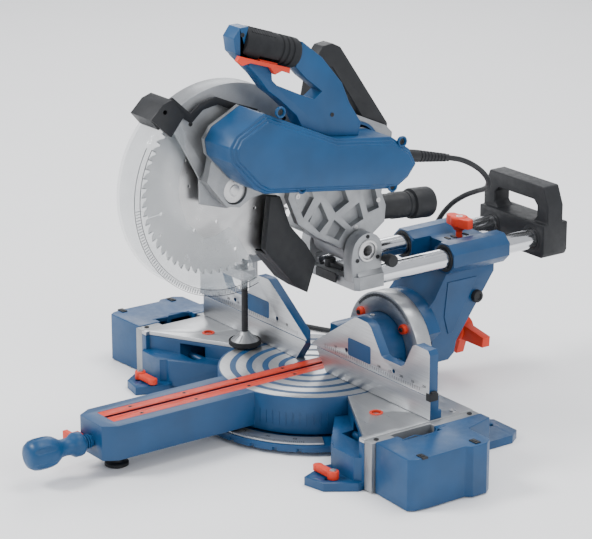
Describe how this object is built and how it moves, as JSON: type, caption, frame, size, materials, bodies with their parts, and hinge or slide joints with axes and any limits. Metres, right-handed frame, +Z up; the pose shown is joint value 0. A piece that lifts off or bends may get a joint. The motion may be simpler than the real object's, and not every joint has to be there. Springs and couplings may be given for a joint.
{
  "type": "mitre saw",
  "caption": "Bench-top sliding compound mitre saw: wide base with sliding end blocks, split fence, turntable with a long arm, tilting column, twin rails and a raised, guarded saw head.",
  "frame": {"origin": "the turntable's pivot axis at the underside of the base, on the bench", "axes": "+X is the operator's right, along the fence; +Y is away from the operator, along the rails; +Z is up"},
  "size_m": [0.7671, 0.899, 0.61],
  "materials": {
    "blue_paint": "satin paint on die casting",
    "blue_plastic": "fine-grained moulded plastic",
    "orange_plastic": "satin moulded plastic",
    "black_plastic": "fine-grained moulded plastic",
    "grip_rubber": "soft overmoulded rubber",
    "cast_aluminium": "bead-blasted die casting",
    "machined_aluminium": "machined face with fine tool lines",
    "chrome": "ground and plated round bar",
    "steel": "ground steel",
    "clear_plastic": "clear moulded guard"
  },
  "bodies": {
    "base": {"base_casting": "blue_paint", "left_table_plate": "machined_aluminium", "right_table_plate": "machined_aluminium", "left_side_frame": "cast_aluminium", "right_side_frame": "cast_aluminium", "left_lower_fence": "machined_aluminium", "right_lower_fence": "machined_aluminium", "mitre_scale": "machined_aluminium", "clamp_post": "steel", "power_cord": "black_plastic", "cord_coil": "black_plastic", "plug": "black_plastic"},
    "left_extension": {"left_extension": "blue_paint"},
    "right_extension": {"right_extension": "blue_paint"},
    "left_cam_lever": {"left_cam_lever": "orange_plastic"},
    "right_cam_lever": {"right_cam_lever": "orange_plastic"},
    "left_upper_fence": {"left_upper_fence": "blue_paint"},
    "right_upper_fence": {"right_upper_fence": "blue_paint"},
    "clamp_arm": {"clamp_arm": "cast_aluminium"},
    "clamp_screw": {"clamp_screw": "steel"},
    "clamp_knob": {"clamp_knob": "black_plastic"},
    "turntable": {"turntable": "blue_paint", "left_kerf_insert": "orange_plastic", "right_kerf_insert": "orange_plastic", "bevel_bracket": "blue_paint", "bevel_scale": "machined_aluminium"},
    "mitre_lock_knob": {"mitre_lock_knob": "blue_plastic"},
    "detent_lever": {"detent_lever": "orange_plastic"},
    "front_foot": {"front_foot": "black_plastic"},
    "tilt": {"tilt_column": "blue_paint", "slide_housing": "blue_paint"},
    "slide_lock_knob": {"slide_lock_knob": "orange_plastic"},
    "bevel_lever": {"bevel_lever": "orange_plastic"},
    "carriage": {"left_rail": "chrome", "right_rail": "chrome", "carriage_block": "cast_aluminium", "hinge_shaft": "steel", "rear_handle": "black_plastic"},
    "depth_stop": {"depth_stop": "black_plastic"},
    "lock_pin": {"lock_pin": "black_plastic"},
    "head": {"gear_case": "cast_aluminium", "head_arm": "cast_aluminium", "motor_shell": "blue_plastic", "belt_cover": "blue_plastic", "drive_belt": "grip_rubber", "d_handle": "blue_plastic", "grip_sleeve": "grip_rubber", "carry_handle": "black_plastic", "upper_guard": "cast_aluminium", "guard_stop": "black_plastic", "dust_chute": "black_plastic", "dust_port": "black_plastic", "strain_relief": "black_plastic"},
    "trigger": {"trigger": "orange_plastic"},
    "spindle": {"saw_blade": "steel", "arbor": "steel"},
    "layshaft": {"layshaft": "steel"},
    "rotor": {"motor_rotor": "steel"},
    "lower_guard": {"lower_guard": "clear_plastic"}
  },
  "joints": [
    {"name": "mitre", "type": "hinge", "parent": "base", "child": "turntable", "pos_m": [0, 0, 0.02], "axis": [0, 0, 1], "range_deg": [-50, 50]},
    {"name": "bevel", "type": "hinge", "parent": "turntable", "child": "tilt", "pos_m": [0, 0.16, 0.074], "axis": [0, 1, 0], "range_deg": [-28, 47]},
    {"name": "slide", "type": "slide", "parent": "tilt", "child": "carriage", "axis": [0, 1, 0], "range_m": [-0.06, 0.12]},
    {"name": "chop", "type": "hinge", "parent": "carriage", "child": "head", "pos_m": [0, 0.055, 0.2526], "axis": [-1, 0, 0], "range_deg": [-43.6, 0], "stiffness_Nm_per_rad": 18, "springref_deg": 80.21, "deforming": ["power_cord"]},
    {"name": "guard_turn", "type": "hinge", "parent": "head", "child": "lower_guard", "pos_m": [0, -0.15671, 0.37189], "axis": [-1, 0, 0], "range_deg": [0, 122.08]},
    {"name": "blade_spin", "type": "hinge", "parent": "head", "child": "spindle", "pos_m": [0, -0.15671, 0.37189], "axis": [1, 0, 0], "continuous": true},
    {"name": "layshaft_spin", "type": "hinge", "parent": "head", "child": "layshaft", "pos_m": [0, -0.15, 0.425], "axis": [1, 0, 0], "continuous": true},
    {"name": "rotor_spin", "type": "hinge", "parent": "head", "child": "rotor", "pos_m": [0, 0.05, 0.395], "axis": [1, 0, 0], "continuous": true},
    {"name": "trigger_pull", "type": "slide", "parent": "head", "child": "trigger", "axis": [0, 0.313, 0.9498], "range_m": [0, 0.003], "stiffness_N_per_m": 600, "springref_m": -0.003},
    {"name": "left_fence_slide", "type": "slide", "parent": "base", "child": "left_upper_fence", "axis": [1, 0, 0], "range_m": [-0.125, 0]},
    {"name": "right_fence_slide", "type": "slide", "parent": "base", "child": "right_upper_fence", "axis": [1, 0, 0], "range_m": [0, 0.125]},
    {"name": "left_extension_slide", "type": "slide", "parent": "base", "child": "left_extension", "axis": [1, 0, 0], "range_m": [-0.08, 0]},
    {"name": "right_extension_slide", "type": "slide", "parent": "base", "child": "right_extension", "axis": [1, 0, 0], "range_m": [0, 0.08]},
    {"name": "left_cam_turn", "type": "hinge", "parent": "base", "child": "left_cam_lever", "pos_m": [-0.24, -0.14, 0.018], "axis": [0, 0, 1], "range_deg": [-60, 0]},
    {"name": "right_cam_turn", "type": "hinge", "parent": "base", "child": "right_cam_lever", "pos_m": [0.24, -0.14, 0.018], "axis": [0, 0, 1], "range_deg": [0, 60]},
    {"name": "clamp_swing", "type": "hinge", "parent": "base", "child": "clamp_arm", "pos_m": [-0.192, 0.034, 0.187], "axis": [0, 0, 1], "range_deg": [-90, 0]},
    {"name": "clamp_feed", "type": "slide", "parent": "clamp_arm", "child": "clamp_screw", "axis": [0, 0, 1], "range_m": [-0.0025, 0.06]},
    {"name": "clamp_knob_turn", "type": "hinge", "parent": "clamp_screw", "child": "clamp_knob", "pos_m": [-0.119, -0.04, 0.209], "axis": [0, 1, 0], "range_deg": [0, 180]},
    {"name": "mitre_lock_turn", "type": "hinge", "parent": "turntable", "child": "mitre_lock_knob", "pos_m": [0, -0.4, 0.045], "axis": [0, 1, 0], "range_deg": [-360, 0]},
    {"name": "detent_press", "type": "hinge", "parent": "turntable", "child": "detent_lever", "pos_m": [-0.0265, -0.3733, 0.033], "axis": [1, 0, 0], "range_deg": [0, 8], "stiffness_Nm_per_rad": 0.2, "springref_deg": -17.19},
    {"name": "foot_lift", "type": "slide", "parent": "turntable", "child": "front_foot", "axis": [0, 0, 1], "range_m": [0, 0.005]},
    {"name": "slide_lock_turn", "type": "hinge", "parent": "tilt", "child": "slide_lock_knob", "pos_m": [0, 0.274, 0.23], "axis": [0, 0, 1], "range_deg": [0, 90]},
    {"name": "bevel_lock_turn", "type": "hinge", "parent": "tilt", "child": "bevel_lever", "pos_m": [0, 0.28, 0.074], "axis": [0, 1, 0], "range_deg": [-25, 0]},
    {"name": "depth_stop_swing", "type": "hinge", "parent": "carriage", "child": "depth_stop", "pos_m": [-0.018, 0.048, 0.22], "axis": [0, 0, 1], "range_deg": [0, 80]},
    {"name": "lock_pin_pull", "type": "slide", "parent": "carriage", "child": "lock_pin", "axis": [1, 0, 0], "range_m": [0, 0.008]}
  ],
  "couplings": [
    {"joint": "guard_turn", "follows": "chop", "ratio": -2.8},
    {"joint": "layshaft_spin", "follows": "blade_spin", "ratio": -0.51382},
    {"joint": "rotor_spin", "follows": "blade_spin", "ratio": -0.74218}
  ]
}
